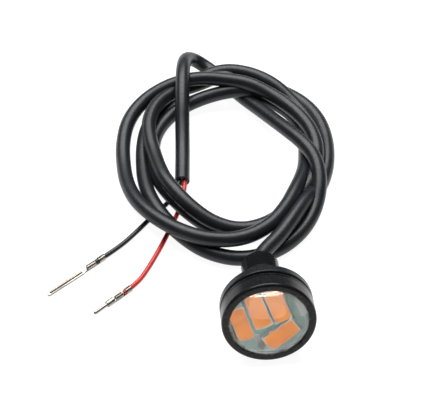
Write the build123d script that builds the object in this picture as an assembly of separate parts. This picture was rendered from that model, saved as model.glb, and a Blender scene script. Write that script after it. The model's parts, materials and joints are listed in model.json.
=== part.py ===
from build123d import *
import os
from math import cos, sin, tan, radians, hypot, pi, degrees, acos

# A 23 mm LED turn signal lamp with a rear stud and a coiled two-core cable.
# Millimetres, +Z up, standing on z = 0. The lens looks along -Y and up.

# --- Driving sizes of the lamp; depths are measured back from the bezel's front face ---
LAMP_RADIUS = 11.5
STUD_RADIUS = 5.0
STUD_LENGTH = 15.6
LEAN = 15.5  # how far the lens's face leans back from upright, in degrees

# --- Bezel ---
BEZEL_DEPTH = 4.8
BEZEL_FACE = 1.8
BEZEL_WALL = 1.15
BEZEL_ROUND = 0.7
LIP_DEPTH = 0.9
LIP_ROUND = 0.3
SHOULDER_WIDTH = 0.45
SHOULDER_STEP = 0.25

# --- Lens ---
LENS_GAP = 0.05
LENS_SINK = 0.25
DOME_HEIGHT = 3.4
DOME_ROUND = 0.5
FLANGE_THICKNESS = 1.0
FLANGE_GAP = 0.1

# --- Housing ---
GROOVE_WIDTH = 0.9
GROOVE_DEPTH = 0.9
COLLAR_GAP = 0.05
COLLAR_WALL = 0.85
FLOOR_THICKNESS = 1.5
BODY_CHAMFER = 0.4
BORE_RADIUS = 3.0
BORE_LEDGE = 2.9
WIRE_HOLE_RADIUS = 2.0

# --- Thread at the stud's end: ridges at top and bottom, smooth bands at the sides ---
THREAD_PITCH = 1.0
THREAD_TURNS = 6
THREAD_DEPTH = 0.5
THREAD_OVERCUT = 0.1  # how far the cutting wedges stand outside the stud
THREAD_FLANK = 0.92  # share of a pitch that each groove takes up
THREAD_HALF_ANGLE = 48
BAND_DEPTH = 0.2

# --- Seal, reflector and board ---
SEAL_WIRE = 0.8
REFLECTOR_WALL = 0.7
REFLECTOR_RISE = 0.6
BOARD_GAP = 0.15
BOARD_SPACE = 2.6
BOARD_THICKNESS = 1.0
BACK_SPACE = 1.2

# --- LEDs: three side by side and one across their ends, turned together about the axis ---
LED_LENGTH = 7.0
LED_WIDTH = 3.5
LED_HEIGHT = 0.8
LED_TURN = 20
LED_PLACES = [(-5.7, -0.3, 90), (-1.6, 1.15, 90), (2.4, 0.9, 90), (0.9, -5.3, 17)]
WINDOW_MARGIN = 0.12
WINDOW_CORNER = 0.7
WINDOW_DEPTH = 0.12
PAD_LENGTH = 0.9
PAD_WIDTH = 2.8
PAD_THICKNESS = 0.05
LANDS = [((1.1, 3.0), (-3.6, -5.5)), ((1.8, 5.4), (6.3, -1.2))]

# --- Parts on the board's back ---
RESISTOR = (2.0, 1.25, 0.5)
RESISTOR_REACH = 5.8
DIODE = (2.6, 1.6, 0.9)
DIODE_REACH = 5.1
SOLDER_RADIUS = 0.9
SOLDER_HEIGHT = 0.6
SOLDER_REACH = 1.12
PAD_OUTER = 4.2
PAD_INNER = 2.4

# --- Cable and wires ---
CABLE = 4.1
WIRE = 1.3
CORE_GAP = 0.05
CORE_STRAIGHT = 1.2  # each core's straight run back from its solder joint
CORE_LEAD = 0.4  # how far ahead of the bore the cores come together
JACKET_LEDGE = 1.4  # from the bore's start to the jacket's
PLUG_LENGTH = 3.1
PLUG_RECESS = 0.3
LEAVING_RUN = 3.4

# --- Coil: how far it reaches from its middle, from +X round to the stud's side ---
COIL_MIDDLE = (-4.0, 55.0)
COIL_OUTER = [29.4, 33.8, 36.2, 35.8, 32.2, 34.0, 38.6, 32.2]
COIL_INNER = [18.8, 22.0, 22.6, 22.4, 19.2, 20.5, 24.6, 20.8]
COIL_HEIGHT = 8.2
COIL_CHAMFER = 1.2
WAY_GAP = 0.05

# --- Routes lying free, each a list of points chosen by hand ---
EXIT_ROUTE = [(2.4, 19.0, 5.7), (6.3, 23.2, 5.6)]
CROSS_ROUTE = [(16.0, 54.9, 7.6), (11.6, 61.9, 6.6), (6.6, 70.6, 4.6), (0.6, 80.6, 2.3)]
TAIL_ROUTE = [
    (-5.6, 90.2, 2.1),
    (-8.4, 93.6, 2.2),
    (-12.1, 94.8, 4.5),
    (-14.7, 92.1, 7.5),
    (-15.8, 84.4, 10.0),
    (-16.5, 74.5, 8.6),
    (-17.0, 65.0, 4.4),
    (-17.4, 56.8, 2.3),
    (-18.0, 47.7, 2.05),
]
RED_ROUTE = [
    (-17.3, 47.7, 2.05),
    (-17.9, 42.0, 0.65),
    (-20.9, 34.6, 0.65),
    (-24.2, 27.0, 0.65),
    (-28.0, 19.4, 0.65),
    (-31.3, 13.8, 0.75),
    (-34.9, 10.9, 0.85),
]
BLACK_ROUTE = [
    (-18.7, 47.7, 2.05),
    (-20.8, 42.6, 0.65),
    (-26.0, 37.4, 0.65),
    (-30.9, 31.6, 0.65),
    (-35.9, 26.2, 0.65),
    (-42.0, 21.5, 0.85),
]

# --- Crimp terminals, along each wire from where its insulation ends ---
STRIP = 0.2
STRAND = 0.2
SLIT = 0.25
BLADE_SIZES = {"hold": (-2.8, -0.8), "crimp": (0.3, 2.9), "neck": 3.7, "tip": 15.7}
PIN_SIZES = {"hold": (-2.2, -0.5), "crimp": (0.6, 2.8), "neck": 3.4, "body": 5.6, "tip": 9.9}
BLADE_ROOT = 2.6
BLADE_TIP = 1.1
BLADE_THICKNESS = 0.6
PIN_BODY = 1.7
PIN = 0.9

collar_radius = LAMP_RADIUS - BEZEL_WALL - COLLAR_GAP
cavity_radius = collar_radius - COLLAR_WALL
board_radius = cavity_radius - BOARD_GAP
lens_radius = LAMP_RADIUS - BEZEL_FACE - LENS_GAP
flange_back = LIP_DEPTH + FLANGE_THICKNESS
collar_front = flange_back + SEAL_WIRE
board_front = flange_back + BOARD_SPACE
board_back = board_front + BOARD_THICKNESS
cavity_floor = board_back + BACK_SPACE
body_front = BEZEL_DEPTH + GROOVE_WIDTH
body_back = cavity_floor + FLOOR_THICKNESS
bore_start = cavity_floor + BORE_LEDGE
jacket_start = bore_start + JACKET_LEDGE
stud_end = body_back + STUD_LENGTH
plug_end = stud_end - PLUG_RECESS
thread_start = stud_end - THREAD_PITCH * THREAD_TURNS
rest_height = LAMP_RADIUS * cos(radians(LEAN)) + (body_back - BODY_CHAMFER) * sin(radians(LEAN))
front_reach = LAMP_RADIUS * sin(radians(LEAN))
back_reach = stud_end * cos(radians(LEAN)) + STUD_RADIUS * sin(radians(LEAN))
lamp_place = Pos(0, (front_reach - back_reach) / 2, rest_height) * Rot(90 - LEAN, 0, 0)


def turned(outline):
    """A solid turned about the lamp's axis, from (radius, depth) corners."""
    corners = [(radius, 0, -depth) for radius, depth in outline]
    return revolve(make_face(Polyline(*corners, close=True)), Axis.Z)


def rims(solid, radius, depth):
    """The circular edges of a turned solid with this radius at this depth."""
    circles = solid.edges().filter_by(GeomType.CIRCLE)
    return [e for e in circles if hypot(e.radius - radius, e.arc_center.Z + depth) < 0.01]


def ring(outer, inner, front, back):
    return turned([(inner, front), (outer, front), (outer, back), (inner, back)])


def disc(radius, front, back):
    return turned([(0, front), (radius, front), (radius, back), (0, back)])


def block(size, x, y, depth, turn=0):
    """A box whose front lies at this depth, turned about the lamp's axis."""
    return Pos(x, y, -depth - size[2] / 2) * Rot(0, 0, turn) * Box(*size)


def tube(points, diameter):
    """A round tube along straight runs, joined by the widest tangent arcs that fit, and a note on it."""
    corners = [Vector(*p) for p in points]
    runs = [b - a for a, b in zip(corners, corners[1:])]
    radii = []
    for before, after in zip(runs, runs[1:]):
        turn = radians(before.get_angle(after))
        radii.append(0.45 * min(before.length, after.length) / tan(turn / 2))
    path = FilletPolyline(*points, radius=radii) if radii else Line(*points)
    section = Plane(origin=corners[0], z_dir=runs[0]) * Circle(diameter / 2)
    solid = sweep(section, path=path)
    share = solid.volume / (pi * diameter**2 / 4 * path.length)
    return solid, f"length {path.length:.1f} radii {[round(r, 1) for r in radii]} volume share {share:.4f}"


def thread_grooves(middle_angle, offset):
    """V-shaped grooves across one side of the stud, for one half of each thread turn."""
    half = THREAD_PITCH / 2
    root = STUD_RADIUS - THREAD_DEPTH
    out = STUD_RADIUS + THREAD_OVERCUT
    rise = half * (out - root) / THREAD_DEPTH * THREAD_FLANK
    grooves = []
    for turn in range(THREAD_TURNS):
        depth = thread_start + offset + turn * THREAD_PITCH
        grooves.append(turned([(root, depth), (out, depth - rise), (out, depth + rise)]))
    reach = 2 * STUD_RADIUS
    side = reach * tan(radians(THREAD_HALF_ANGLE))
    wedge = make_face(Polyline((0, 0), (side, reach), (-side, reach), close=True))
    sector = Rot(0, 0, middle_angle) * extrude(Pos(0, 0, -stud_end - 1) * wedge, THREAD_TURNS + 3)
    return [groove & sector for groove in grooves]


def housing():
    groove_radius = LAMP_RADIUS - GROOVE_DEPTH
    body = turned(
        [
            (cavity_radius, collar_front),
            (collar_radius, collar_front),
            (collar_radius, BEZEL_DEPTH),
            (groove_radius, BEZEL_DEPTH),
            (groove_radius, body_front),
            (LAMP_RADIUS, body_front),
            (LAMP_RADIUS, body_back),
            (STUD_RADIUS, body_back),
            (STUD_RADIUS, stud_end),
            (BORE_RADIUS, stud_end),
            (BORE_RADIUS, bore_start),
            (WIRE_HOLE_RADIUS, bore_start),
            (WIRE_HOLE_RADIUS, cavity_floor),
            (cavity_radius, cavity_floor),
        ]
    )
    body = chamfer(rims(body, LAMP_RADIUS, body_back), BODY_CHAMFER)
    body = fillet(rims(body, LAMP_RADIUS, body_front), BODY_CHAMFER)
    body = chamfer(rims(body, STUD_RADIUS, stud_end), BODY_CHAMFER)
    bands = ring(STUD_RADIUS + 1, STUD_RADIUS - BAND_DEPTH, thread_start, stud_end + 1)
    reach = 2 * STUD_RADIUS
    side = reach / tan(radians(THREAD_HALF_ANGLE))
    for turn in (90, -90):
        wedge = make_face(Polyline((0, 0), (side, reach), (-side, reach), close=True))
        sector = Rot(0, 0, turn) * extrude(Pos(0, 0, -stud_end - 2) * wedge, THREAD_TURNS + 4)
        body -= bands & sector
    for groove in thread_grooves(0, THREAD_PITCH / 2) + thread_grooves(180, THREAD_PITCH):
        body -= groove
    return body


def bezel_ring():
    inner = collar_radius + COLLAR_GAP
    opening = LAMP_RADIUS - BEZEL_FACE
    shoulder_front = BEZEL_DEPTH - SHOULDER_WIDTH
    shoulder = LAMP_RADIUS - SHOULDER_STEP
    bezel = turned(
        [
            (opening, 0),
            (LAMP_RADIUS, 0),
            (LAMP_RADIUS, shoulder_front - SHOULDER_STEP),
            (shoulder, shoulder_front),
            (LAMP_RADIUS, shoulder_front),
            (LAMP_RADIUS, BEZEL_DEPTH),
            (inner, BEZEL_DEPTH),
            (inner, LIP_DEPTH),
            (opening, LIP_DEPTH),
        ]
    )
    bezel = fillet(rims(bezel, LAMP_RADIUS, 0), BEZEL_ROUND)
    return fillet(rims(bezel, opening, 0), LIP_ROUND)


def lens():
    """A clear moulding: a solid dome over a flat flange that the bezel's lip holds."""
    flange_radius = collar_radius + COLLAR_GAP - FLANGE_GAP
    curve = (lens_radius**2 + DOME_HEIGHT**2) / (2 * DOME_HEIGHT)
    half = acos((curve - DOME_HEIGHT) / curve) / 2
    middle = (curve * sin(half), 0, DOME_HEIGHT - LENS_SINK - curve * (1 - cos(half)))
    start = (lens_radius, 0, -LENS_SINK)
    top = (0, 0, DOME_HEIGHT - LENS_SINK)
    sides = Polyline(
        top, (0, 0, -flange_back), (flange_radius, 0, -flange_back), (flange_radius, 0, -LIP_DEPTH),
        (lens_radius, 0, -LIP_DEPTH), start,
    )
    clear = revolve(make_face(ThreePointArc(start, middle, top) + sides), Axis.Z)
    return fillet(rims(clear, lens_radius, LENS_SINK), DOME_ROUND)


def lens_seal():
    middle = (cavity_radius + collar_radius) / 2
    section = Plane.XZ * Pos(middle, -flange_back - SEAL_WIRE / 2) * Circle(SEAL_WIRE / 2)
    return revolve(section, Axis.Z)


def reflector_ring():
    return ring(board_radius, board_radius - REFLECTOR_WALL, collar_front - REFLECTOR_RISE, board_front)


def circuit_board():
    board = disc(board_radius, board_front, board_back)
    for side in (-1, 1):
        board -= Pos(side * SOLDER_REACH, 0, -board_back) * Cylinder(WIRE / 4, 2 * BOARD_THICKNESS + 1)
    return board


def led_places():
    for x, y, turn in LED_PLACES:
        yield Rot(0, 0, LED_TURN) * Pos(x, y, -board_front) * Rot(0, 0, turn)


def led_window_shape(depth):
    length = LED_LENGTH - 2 * WINDOW_MARGIN
    width = LED_WIDTH - 2 * WINDOW_MARGIN
    top = LED_HEIGHT + PAD_THICKNESS
    return Pos(0, 0, top - depth) * extrude(RectangleRounded(length, width, WINDOW_CORNER), depth)


def led_frames():
    frame = Pos(0, 0, LED_HEIGHT / 2 + PAD_THICKNESS) * Box(LED_LENGTH, LED_WIDTH, LED_HEIGHT)
    frame -= led_window_shape(WINDOW_DEPTH)
    return [place * frame for place in led_places()]


def led_windows():
    return [place * led_window_shape(WINDOW_DEPTH) for place in led_places()]


def led_pads():
    middle = (LED_LENGTH - PAD_LENGTH) / 2
    pad = Box(PAD_LENGTH, PAD_WIDTH, PAD_THICKNESS)
    height = PAD_THICKNESS / 2
    return [p * Pos(s * middle, 0, height) * pad for p in led_places() for s in (-1, 1)]


def board_lands():
    """Bare tinned lands on the board's front, beside the LEDs."""
    height = PAD_THICKNESS / 2 - board_front
    return [Rot(0, 0, LED_TURN) * Pos(*at, height) * Box(*size, PAD_THICKNESS) for size, at in LANDS]


def chip_resistors():
    turns = [45, 135, 225, 315]
    return [Rot(0, 0, t) * block(RESISTOR, RESISTOR_REACH, 0, board_back, 90) for t in turns]


def polarity_diode():
    return block(DIODE, 0, DIODE_REACH, board_back)


def solder_joints():
    cone = Rot(180, 0, 0) * Cone(SOLDER_RADIUS, WIRE / 2, SOLDER_HEIGHT)
    return [Pos(s * SOLDER_REACH, 0, -board_back - SOLDER_HEIGHT / 2) * cone for s in (-1, 1)]


def inner_wire(side):
    """One core, from its solder joint back to the jacket's start inside the stud."""
    near = side * SOLDER_REACH
    far = side * (WIRE / 2 + CORE_GAP)
    front = board_back + SOLDER_HEIGHT
    points = [
        (near, 0, -front),
        (near, 0, -front - CORE_STRAIGHT),
        (far, 0, -bore_start + CORE_LEAD),
        (far, 0, -jacket_start),
    ]
    return tube(points, WIRE)[0]


def thermal_pad():
    return ring(PAD_OUTER, PAD_INNER, board_back, cavity_floor)


def cable_entry():
    return disc(CABLE / 2, jacket_start, stud_end)


def potting_plug():
    return ring(BORE_RADIUS, CABLE / 2, plug_end - PLUG_LENGTH, plug_end)


def coil_outline(reaches):
    """A smooth closed outline through one reach in each of the compass directions."""
    step = 2 * pi / len(reaches)
    corners = [
        (COIL_MIDDLE[0] + reach * cos(step * i), COIL_MIDDLE[1] + reach * sin(step * i))
        for i, reach in enumerate(reaches)
    ]
    return make_face(Spline(*corners, periodic=True))


def cable_coil(routes):
    """The closed outer shape of the coil's turns, with a way through for each route that meets it."""
    coil = extrude(coil_outline(COIL_OUTER) - coil_outline(COIL_INNER), COIL_HEIGHT)
    edges = coil.edges().group_by(Axis.Z)
    coil = chamfer(edges[-1] + edges[0], COIL_CHAMFER)
    for points, diameter in routes:
        coil -= tube(points, diameter + 2 * WAY_GAP)[0]
    return coil


def barrel(span, outer, inner):
    """A rolled crimp round a wire or its strands, with its seam open at the top."""
    length = span[1] - span[0]
    along = Pos(span[0], 0, 0) * Rot(0, 90, 0)
    rolled = along * extrude(Circle(outer) - Circle(inner), length)
    seam = Pos(sum(span) / 2, 0, outer) * Box(length + 1, SLIT, 2 * (outer - inner) + SLIT)
    return rolled - seam


def terminal_stem(sizes):
    """The floor strip of a crimp terminal with its two crimps; local Z = 0 is the wire's middle."""
    strand_room = 1.5 * STRAND
    hold = barrel(sizes["hold"], WIRE / 2 + STRIP, WIRE / 2)
    crimp = barrel(sizes["crimp"], strand_room + 2 * STRIP, strand_room)
    start = sizes["hold"][0]
    length = sizes["neck"] - start
    strip = Pos(start + length / 2, 0, -WIRE / 2 - STRIP / 2) * Box(length, WIRE * 0.75, STRIP)
    rise = WIRE / 2 + STRIP - strand_room
    saddle_length = sizes["crimp"][1] - sizes["crimp"][0]
    saddle = Pos(sum(sizes["crimp"]) / 2, 0, -strand_room - rise / 2) * Box(saddle_length, WIRE * 0.55, rise)
    return hold + crimp + strip + (saddle - crimp)


def blade_terminal():
    """A crimp terminal with a long flat blade, wide at its root and rounded at its tip."""
    sizes = BLADE_SIZES
    floor = -WIRE / 2 - STRIP
    root = sizes["neck"]
    tip = sizes["tip"] - BLADE_TIP / 2
    outline = Polyline(
        (root - 0.4, 0.35),
        (root + 0.9, BLADE_TIP * 0.6),
        (tip, BLADE_TIP / 2),
        (tip, -BLADE_TIP / 2),
        (root + 4.2, -BLADE_ROOT * 0.55),
        (root + 0.9, -BLADE_ROOT * 0.6),
        (root - 0.4, -0.35),
        close=True,
    )
    blade = extrude(make_face(outline), BLADE_THICKNESS)
    blade += Pos(tip, 0, 0) * extrude(Circle(BLADE_TIP / 2), BLADE_THICKNESS)
    blade = Pos(0, 0, floor) * blade
    fold = Pos(root + 0.9, 0, floor + BLADE_THICKNESS) * Rot(0, 90, 0)
    fold *= Cylinder(BLADE_TIP * 0.32, tip - root - 1.2, align=(Align.CENTER, Align.CENTER, Align.MIN))
    return terminal_stem(sizes) + blade + fold


def pin_terminal():
    """A crimp terminal with a rolled body and a thin round pin."""
    sizes = PIN_SIZES
    low = -WIRE / 2 - STRIP
    lie = (Align.CENTER, Align.CENTER, Align.MIN)
    neck = sizes["neck"]
    body = Pos(neck, 0, low + PIN_BODY / 2) * Rot(0, 90, 0)
    body *= Cylinder(PIN_BODY / 2, sizes["body"] - neck, align=lie)
    pin = Pos(sizes["body"], 0, low + PIN_BODY / 2) * Rot(0, 90, 0)
    pin *= Cylinder(PIN / 2, sizes["tip"] - sizes["body"] - PIN / 2, align=lie)
    tip = Pos(sizes["tip"] - PIN / 2, 0, low + PIN_BODY / 2) * Sphere(PIN / 2)
    neck_strip = Pos(neck - 0.3, 0, low + PIN_BODY / 4) * Box(0.8, PIN_BODY * 0.6, PIN_BODY / 2)
    return terminal_stem(sizes) + neck_strip + body + pin + tip


def strands(sizes):
    """Seven bare copper strands, from the insulation's end into the conductor crimp."""
    places = [(0, 0)] + [(STRAND * cos(pi / 3 * i), STRAND * sin(pi / 3 * i)) for i in range(6)]
    length = sizes["crimp"][1] - 0.1
    lie = (Align.CENTER, Align.CENTER, Align.MIN)
    strand = Rot(0, 90, 0) * Cylinder(STRAND / 2 - 0.005, length, align=lie)
    return [Pos(0, y, z) * strand for y, z in places]


def end_of(route):
    """Where a wire's insulation ends, with local X pointing on along its last run."""
    before, last = Vector(*route[-2]), Vector(*route[-1])
    onward = last - before
    flat = Vector(onward.X, onward.Y, 0)
    return Plane(origin=last, x_dir=flat, z_dir=(0, 0, 1)).location


def write(name, shapes):
    """Writes one node, as one solid or as a group of separate solids."""
    solids = [s for shape in shapes for s in shape.solids()]
    shape = solids[0] if len(solids) == 1 else Compound(children=solids)
    export_step(shape, f"parts/{name}.step")
    print(name, len(solids), "solid(s)", round(sum(s.volume for s in solids), 2), "mm3")


os.makedirs("parts", exist_ok=True)

lamp = {
    "housing": [housing()],
    "bezel_ring": [bezel_ring()],
    "lens": [lens()],
    "lens_seal": [lens_seal()],
    "reflector_ring": [reflector_ring()],
    "circuit_board": [circuit_board()],
    "led_frames": led_frames(),
    "led_windows": led_windows(),
    "led_pads": led_pads(),
    "board_lands": board_lands(),
    "chip_resistors": chip_resistors(),
    "polarity_diode": [polarity_diode()],
    "solder_joints": solder_joints(),
    "inner_wire_red": [inner_wire(-1)],
    "inner_wire_black": [inner_wire(1)],
    "thermal_pad": [thermal_pad()],
    "cable_entry": [cable_entry()],
    "potting_plug": [potting_plug()],
}
nodes = {name: [lamp_place * shape for shape in shapes] for name, shapes in lamp.items()}

leaving = [tuple((lamp_place * Pos(0, 0, -stud_end - step)).position) for step in (0, LEAVING_RUN)]
routes = {
    "cable_exit": (leaving + EXIT_ROUTE, CABLE),
    "cable_cross": (CROSS_ROUTE, CABLE),
    "cable_tail": (TAIL_ROUTE, CABLE),
    "wire_red": (RED_ROUTE, WIRE),
    "wire_black": (BLACK_ROUTE, WIRE),
}
for name, (points, diameter) in routes.items():
    solid, note = tube(points, diameter)
    print(name, note)
    nodes[name] = [solid]
for name in ("wire_red", "wire_black"):
    nodes[name] = [nodes[name][0] - nodes["cable_tail"][0]]
nodes["cable_coil"] = [cable_coil(routes.values())]

for colour, route, terminal, sizes in (
    ("red", RED_ROUTE, pin_terminal(), PIN_SIZES),
    ("black", BLACK_ROUTE, blade_terminal(), BLADE_SIZES),
):
    place = end_of(route)
    nodes[f"terminal_{colour}"] = [place * terminal - nodes[f"wire_{colour}"][0]]
    nodes[f"strands_{colour}"] = [place * strand for strand in strands(sizes)]

for name, shapes in nodes.items():
    write(name, shapes)
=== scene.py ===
import json
from math import cos, pi, radians, sin

import bpy
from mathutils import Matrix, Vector


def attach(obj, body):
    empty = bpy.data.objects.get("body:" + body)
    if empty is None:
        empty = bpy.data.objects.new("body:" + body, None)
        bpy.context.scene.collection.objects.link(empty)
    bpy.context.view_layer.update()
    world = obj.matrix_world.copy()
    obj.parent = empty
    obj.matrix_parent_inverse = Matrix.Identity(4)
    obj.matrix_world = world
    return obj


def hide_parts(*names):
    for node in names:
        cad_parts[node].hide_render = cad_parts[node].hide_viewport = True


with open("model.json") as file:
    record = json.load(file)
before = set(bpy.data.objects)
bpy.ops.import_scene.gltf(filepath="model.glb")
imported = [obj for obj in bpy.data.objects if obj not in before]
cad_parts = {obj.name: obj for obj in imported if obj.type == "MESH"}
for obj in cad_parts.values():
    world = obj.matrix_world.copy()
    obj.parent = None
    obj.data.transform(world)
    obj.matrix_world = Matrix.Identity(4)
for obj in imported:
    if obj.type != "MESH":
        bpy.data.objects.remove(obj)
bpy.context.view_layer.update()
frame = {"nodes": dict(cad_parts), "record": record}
nodes = frame["nodes"]

MM = 0.001

# --- Camera, in millimetres and degrees: where it looks, from which side and how far off ---
# All but the distance, the sensor and the near limit come from a scratch script's fit to the photo.
CAMERA_TARGET = (-9.5, 40.1, 0.0)
CAMERA_AZIMUTH = 3.98
CAMERA_ELEVATION = 48.09
CAMERA_DISTANCE = 350.0
CAMERA_LENS = 107.5
SENSOR_WIDTH = 36.0
NEAREST_SEEN = 10.0

# --- Cable and wires ---
CABLE = 4.1
WIRE = 1.3
LIE = CABLE / 2  # the height of the cable's middle where it lies on the floor
SPLINE_ORDER = 3
SPLINE_STEPS = 8
TUBE_ROUNDNESS = 6

# --- The coil's four loose turns: (reach, height) of the cable's middle, in eight directions a turn ---
# The reaches were traced from the photo with a scratch script's fitted camera, rounded, then adjusted by
# hand. The heights are guesses.
COIL_MIDDLE = (-4.0, 55.0)
DIRECTIONS = 8
EASE_STEPS = 3
COIL_LEAD = (10.4, 29.0, 5.9)  # on the way from the exit to the first turn
COIL_START = (26.6, 5.8)
COIL_END = (20.4, 7.4)
TURNS = [
    [(27.2, 2.3), (31.5, LIE), (30.9, 4.0), (28.3, 5.8), (21.3, 5.9), (22.8, 7.4), (27.2, 3.2), (24.1, 3.6)],
    [(24.1, 5.6), (24.1, 6.2), (26.8, 7.0), (33.4, 4.0), (30.0, LIE), (31.9, 5.5), (32.8, 6.0), (22.9, 6.0)],
    [(21.0, 2.6), (25.6, 2.2), (24.5, 4.2), (24.5, LIE), (21.8, LIE), (22.6, 3.4), (27.7, LIE), (24.2, LIE)],
    [(25.3, LIE), (28.5, LIE), (32.7, 4.2), (28.4, LIE), (24.6, LIE), (28.8, 3.4), (36.5, LIE), (29.9, 2.4)],
]
# Where one stretch climbs over or ducks under another: (turn, degrees, lift, half width in degrees).
CROSSINGS = [
    (0, -26, -2.0, 28), (4, -26, 1.8, 28), (3, 66, 2.7, 34), (0, 66, -0.6, 24), (0, 88, 2.2, 18),
    (3, 92, 1.6, 20), (1, 109, 1.6, 26), (0, 109, -1.3, 16), (4, -13, 0.5, 26), (1, -13, -0.8, 20),
    (2, 77, 2.1, 22), (1, 77, 1.1, 24),
]

# --- Routes that aren't coiled, as in the CAD ---
EXIT_ROUTE = [(0.0, 12.34, 6.81), (0.0, 15.61, 5.9), (2.4, 19.0, 5.7), (6.3, 23.2, 5.6)]
CROSS_ROUTE = [(16.0, 54.9, 7.6), (11.6, 61.9, 6.6), (6.6, 70.6, 4.6), (0.6, 80.6, 2.3)]
TAIL_ROUTE = [
    (-5.6, 90.2, 2.1), (-8.4, 93.6, 2.2), (-12.1, 94.8, 4.5), (-14.7, 92.1, 7.5), (-15.8, 84.4, 10.0),
    (-16.5, 74.5, 8.6), (-17.0, 65.0, 4.4), (-17.4, 56.8, 2.3), (-18.0, 47.7, 2.05),
]
RED_ROUTE = [
    (-17.3, 47.7, 2.05), (-17.9, 42.0, 0.65), (-20.9, 34.6, 0.65), (-24.2, 27.0, 0.65),
    (-28.0, 19.4, 0.65), (-31.3, 13.8, 0.75), (-34.9, 10.9, 0.85),
]
BLACK_ROUTE = [
    (-18.7, 47.7, 2.05), (-20.8, 42.6, 0.65), (-26.0, 37.4, 0.65), (-30.9, 31.6, 0.65),
    (-35.9, 26.2, 0.65), (-42.0, 21.5, 0.85),
]

# --- Noise in the materials ---
NOISE_DETAIL = 4.0
NOISE_RANGE = (0.3, 0.7)  # where most of the noise's values lie

# --- Lights: places and sizes in metres, powers in watts ---
SCENE_MIDDLE = (0.0, 0.03, 0.0)
LENS_FRONT = (0.0, -0.011, 0.0135)
OVERHEAD = {"place": (-0.05, 0.35, 0.6), "size": (0.7, 0.55), "power": 8.0}
LENS_CARD = {"place": (0.0, -0.6, 0.36), "size": (0.9, 0.7), "power": 14.0}
LENS_ARC = {"place": (0.02, -0.33, 0.4), "size": (0.8, 0.07), "power": 12.0}
WORLD_STRENGTH = 0.1

# --- Floor, in metres ---
FLOOR_SIZE = 6.0
FLOOR_BASE = (0.3, 0.3, 0.3)
FLOOR_ROUGHNESS = 0.9
FLOOR_GLOW = 0.93


def metres(points):
    return [tuple(MM * v for v in p) for p in points]


def eased(a, b, c, d, t):
    """A value between b and c, on a smooth line through a, b, c and d."""
    return 0.5 * (2 * b + (c - a) * t + (2 * a - 5 * b + 4 * c - d) * t**2 + (3 * b - a - 3 * c + d) * t**3)


def lift_at(degrees):
    """How far the crossings raise the cable at this angle, counted on from turn to turn."""
    total = 0.0
    for turn, middle, lift, half_width in CROSSINGS:
        off = (degrees - middle - 360 * turn) / half_width
        if abs(off) < 1:
            total += lift * 0.5 * (1 + cos(pi * off))
    return total


def coil_points():
    """The coil's turns, anticlockwise from the lamp's side."""
    places = [COIL_START] + [place for turn in TURNS for place in turn] + [COIL_END]
    before = tuple(2 * a - b for a, b in zip(places[0], places[1]))
    after = tuple(2 * a - b for a, b in zip(places[-1], places[-2]))
    places = [before] + places + [after]
    points = []
    step = 360 / DIRECTIONS
    for i in range(1, len(places) - 2):
        for k in range(EASE_STEPS):
            near = places[i - 1 : i + 3]
            reach, height = (eased(*(p[axis] for p in near), k / EASE_STEPS) for axis in (0, 1))
            degrees = step * (i - 2 + k / EASE_STEPS)
            height = max(LIE, height + lift_at(degrees))
            angle = radians(degrees)
            x, y = COIL_MIDDLE[0] + reach * cos(angle), COIL_MIDDLE[1] + reach * sin(angle)
            points.append((x, y, height))
    return points


# --- Materials ---
def shader(name, base, roughness, metallic=0.0, **sockets):
    """A new material and its Principled shader, with plain values on the shader's own sockets."""
    made = bpy.data.materials.new(name)
    made.use_nodes = True
    principled = made.node_tree.nodes["Principled BSDF"]
    principled.inputs["Base Color"].default_value = (*base, 1.0)
    principled.inputs["Roughness"].default_value = roughness
    principled.inputs["Metallic"].default_value = metallic
    for socket, value in sockets.items():
        principled.inputs[socket.replace("_", " ")].default_value = value
    return made, principled


def noise(made, scale):
    """Noise in the object's own space."""
    tree = made.node_tree
    where = tree.nodes.new("ShaderNodeTexCoord")
    texture = tree.nodes.new("ShaderNodeTexNoise")
    texture.inputs["Scale"].default_value = scale
    texture.inputs["Detail"].default_value = NOISE_DETAIL
    tree.links.new(where.outputs["Object"], texture.inputs["Vector"])
    return texture.outputs["Fac"]


def spread(made, value, low, high):
    """The noise's range mapped onto low to high."""
    node = made.node_tree.nodes.new("ShaderNodeMapRange")
    node.inputs["From Min"].default_value = NOISE_RANGE[0]
    node.inputs["From Max"].default_value = NOISE_RANGE[1]
    node.inputs["To Min"].default_value = low
    node.inputs["To Max"].default_value = high
    made.node_tree.links.new(value, node.inputs["Value"])
    return node.outputs["Result"]


def blend_colours(made, value, first, second):
    node = made.node_tree.nodes.new("ShaderNodeMix")
    node.data_type = "RGBA"
    node.inputs[6].default_value = (*first, 1.0)
    node.inputs[7].default_value = (*second, 1.0)
    made.node_tree.links.new(value, node.inputs[0])
    return node.outputs[2]


def bump(made, principled, value, strength, distance):
    node = made.node_tree.nodes.new("ShaderNodeBump")
    node.inputs["Strength"].default_value = strength
    node.inputs["Distance"].default_value = distance
    made.node_tree.links.new(value, node.inputs["Height"])
    made.node_tree.links.new(node.outputs["Normal"], principled.inputs["Normal"])


def plastic(name, base, worn, roughness, grain=900.0, relief=0.00003, **sockets):
    """Moulded plastic: slightly uneven colour and gloss, with a fine grain."""
    made, principled = shader(name, base, roughness, **sockets)
    link = made.node_tree.links.new
    broad = noise(made, grain / 8)
    fine = noise(made, grain)
    link(blend_colours(made, spread(made, broad, 0.0, 1.0), base, worn), principled.inputs["Base Color"])
    link(spread(made, fine, roughness * 0.85, roughness * 1.2), principled.inputs["Roughness"])
    bump(made, principled, fine, 0.25, relief)
    return made


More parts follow.
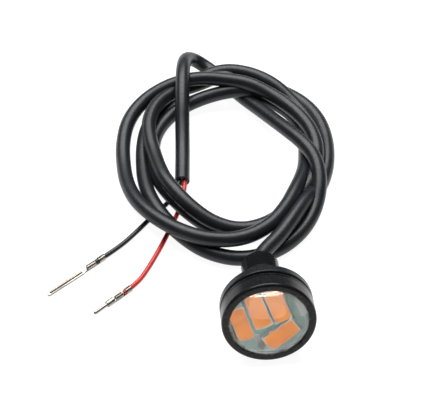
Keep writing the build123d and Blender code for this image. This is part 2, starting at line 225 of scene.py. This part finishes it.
def metal(name, base, worn, roughness, grain=1500.0, relief=0.00002):
    """Bare metal: uneven colour and gloss, with a fine grain."""
    made, principled = shader(name, base, roughness, metallic=1.0)
    link = made.node_tree.links.new
    fine = noise(made, grain)
    broad = noise(made, grain / 6)
    link(blend_colours(made, spread(made, broad, 0.0, 1.0), base, worn), principled.inputs["Base Color"])
    link(spread(made, fine, roughness * 0.7, roughness * 1.4), principled.inputs["Roughness"])
    bump(made, principled, fine, 0.3, relief)
    return made


def clear_plastic(name):
    """Clear plastic that casts no shadow, because shadow rays pass straight through it."""
    made, principled = shader(name, (0.97, 0.98, 0.98), 0.03, IOR=1.49, Transmission_Weight=1.0)
    principled.inputs["Specular Tint"].default_value = (0.2, 0.2, 0.2, 1.0)
    tree = made.node_tree
    passing = tree.nodes.new("ShaderNodeBsdfTransparent")
    light = tree.nodes.new("ShaderNodeLightPath")
    mix = tree.nodes.new("ShaderNodeMixShader")
    tree.links.new(light.outputs["Is Shadow Ray"], mix.inputs[0])
    tree.links.new(principled.outputs[0], mix.inputs[1])
    tree.links.new(passing.outputs[0], mix.inputs[2])
    tree.links.new(mix.outputs[0], tree.nodes["Material Output"].inputs["Surface"])
    return made


looks = {
    "housing_black": plastic(
        "housing_look", (0.009, 0.01, 0.012), (0.016, 0.017, 0.019), 0.28, Specular_IOR_Level=0.22
    ),
    "bezel_black": plastic(
        "bezel_look", (0.006, 0.007, 0.008), (0.011, 0.011, 0.012), 0.25, Specular_IOR_Level=0.22
    ),
    "lens_clear": clear_plastic("lens_look"),
    "seal_rubber": plastic("seal_look", (0.012, 0.012, 0.012), (0.02, 0.02, 0.02), 0.7),
    "reflector_silver": metal(
        "reflector_look", (0.4, 0.4, 0.38), (0.16, 0.17, 0.17), 0.3, grain=700.0, relief=0.0004
    ),
    "board_grey": plastic("board_look", (0.07, 0.1, 0.088), (0.045, 0.068, 0.06), 0.45),
    "led_frame_white": plastic("led_frame_look", (0.16, 0.16, 0.145), (0.11, 0.11, 0.1), 0.5),
    "led_amber": plastic(
        "led_amber_look", (0.23, 0.076, 0.008), (0.18, 0.05, 0.005), 0.35,
        grain=2400.0, Specular_IOR_Level=0.25,
    ),
    "land_tin": metal(
        "land_look", (0.34, 0.34, 0.32), (0.12, 0.13, 0.125), 0.35, grain=900.0, relief=0.0003
    ),
    "solder_tin": metal("solder_look", (0.72, 0.72, 0.7), (0.5, 0.5, 0.5), 0.3),
    "chip_black": plastic("chip_look", (0.03, 0.03, 0.033), (0.05, 0.05, 0.05), 0.5),
    "thermal_grey": plastic("thermal_look", (0.3, 0.32, 0.35), (0.25, 0.27, 0.3), 0.8),
    "jacket_black": plastic(
        "jacket_look", (0.008, 0.01, 0.013), (0.014, 0.017, 0.021), 0.36,
        grain=1400.0, Specular_IOR_Level=0.38,
    ),
    "potting_black": plastic("potting_look", (0.012, 0.012, 0.013), (0.02, 0.02, 0.021), 0.6),
    "wire_red": plastic("wire_red_look", (0.66, 0.035, 0.02), (0.52, 0.02, 0.014), 0.38, grain=1800.0),
    "wire_black": plastic("wire_black_look", (0.009, 0.009, 0.01), (0.016, 0.016, 0.017), 0.38, grain=1800.0),
    "terminal_tin": metal("terminal_look", (0.44, 0.42, 0.38), (0.22, 0.2, 0.17), 0.32),
    "copper_bare": metal("copper_look", (0.6, 0.3, 0.16), (0.4, 0.2, 0.1), 0.3),
}


def paint(piece, slot):
    piece.data.materials.clear()
    piece.data.materials.append(looks[slot])


for part in frame["record"]["subparts"]:
    paint(nodes[part["node"]], part["material_slot"])


# --- Cable and wires ---
def cord_curve(name, points, diameter, slot, stands_for):
    """A round cord on one smooth open spline, in place of its CAD solids."""
    curve = bpy.data.curves.new(name, "CURVE")
    curve.dimensions = "3D"
    spline = curve.splines.new("NURBS")
    spline.points.add(len(points) - 1)
    for control, place in zip(spline.points, metres(points)):
        control.co = (*place, 1.0)
    spline.order_u = SPLINE_ORDER
    spline.use_endpoint_u = True
    spline.resolution_u = SPLINE_STEPS
    curve.bevel_depth = MM * diameter / 2
    curve.bevel_resolution = TUBE_ROUNDNESS
    curve.use_fill_caps = True
    piece = bpy.data.objects.new(name, curve)
    bpy.context.scene.collection.objects.link(piece)
    paint(piece, slot)
    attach(piece, "root")
    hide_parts(*stands_for)
    return piece


cable_route = EXIT_ROUTE + [COIL_LEAD] + coil_points() + CROSS_ROUTE + TAIL_ROUTE
cable = cord_curve(
    "cable", cable_route, CABLE, "jacket_black", ["cable_exit", "cable_coil", "cable_cross", "cable_tail"]
)
red = cord_curve("red_core", RED_ROUTE, WIRE, "wire_red", ["wire_red"])
black = cord_curve("black_core", BLACK_ROUTE, WIRE, "wire_black", ["wire_black"])


# --- Floor, light and camera ---
def area_light(name, place, size, power, target=SCENE_MIDDLE, only=None):
    """A soft rectangular light, which may fall on one collection only."""
    data = bpy.data.lights.new(name, "AREA")
    data.shape = "RECTANGLE"
    data.size, data.size_y = size
    data.energy = power
    light = bpy.data.objects.new(name, data)
    light.location = place
    light.rotation_euler = (Vector(target) - Vector(place)).to_track_quat("-Z", "Y").to_euler()
    bpy.context.scene.collection.objects.link(light)
    if only:
        light.light_linking.receiver_collection = only
        light.visible_transmission = False
        light.visible_diffuse = False


def pale_floor():
    bpy.ops.mesh.primitive_plane_add(size=FLOOR_SIZE, location=(0.0, 0.0, 0.0))
    floor = bpy.context.object
    floor.name = "floor"
    made, _ = shader(
        "floor_look", FLOOR_BASE, FLOOR_ROUGHNESS,
        Emission_Color=(1.0, 1.0, 1.0, 1.0), Emission_Strength=FLOOR_GLOW,
    )
    floor.data.materials.append(made)


def pale_world():
    world = bpy.data.worlds.new("studio")
    world.use_nodes = True
    world.node_tree.nodes["Background"].inputs["Color"].default_value = (1.0, 1.0, 1.0, 1.0)
    world.node_tree.nodes["Background"].inputs["Strength"].default_value = WORLD_STRENGTH
    bpy.context.scene.world = world


def camera():
    azimuth, elevation = radians(CAMERA_AZIMUTH), radians(CAMERA_ELEVATION)
    ahead = Vector((sin(azimuth) * cos(elevation), cos(azimuth) * cos(elevation), -sin(elevation)))
    data = bpy.data.cameras.new("camera")
    data.lens = CAMERA_LENS
    data.sensor_width = SENSOR_WIDTH
    data.clip_start = MM * NEAREST_SEEN
    made = bpy.data.objects.new("camera", data)
    made.location = (Vector(CAMERA_TARGET) - ahead * CAMERA_DISTANCE) * MM
    made.rotation_euler = ahead.to_track_quat("-Z", "Y").to_euler()
    bpy.context.scene.collection.objects.link(made)
    bpy.context.scene.camera = made


pale_floor()
pale_world()
area_light("overhead", **OVERHEAD)
lens_only = bpy.data.collections.new("lens_only")
lens_only.objects.link(nodes["lens"])
area_light("lens_card", **LENS_CARD, target=LENS_FRONT, only=lens_only)
area_light("lens_arc", **LENS_ARC, target=LENS_FRONT, only=lens_only)
camera()
bpy.context.scene.view_settings.view_transform = "Standard"
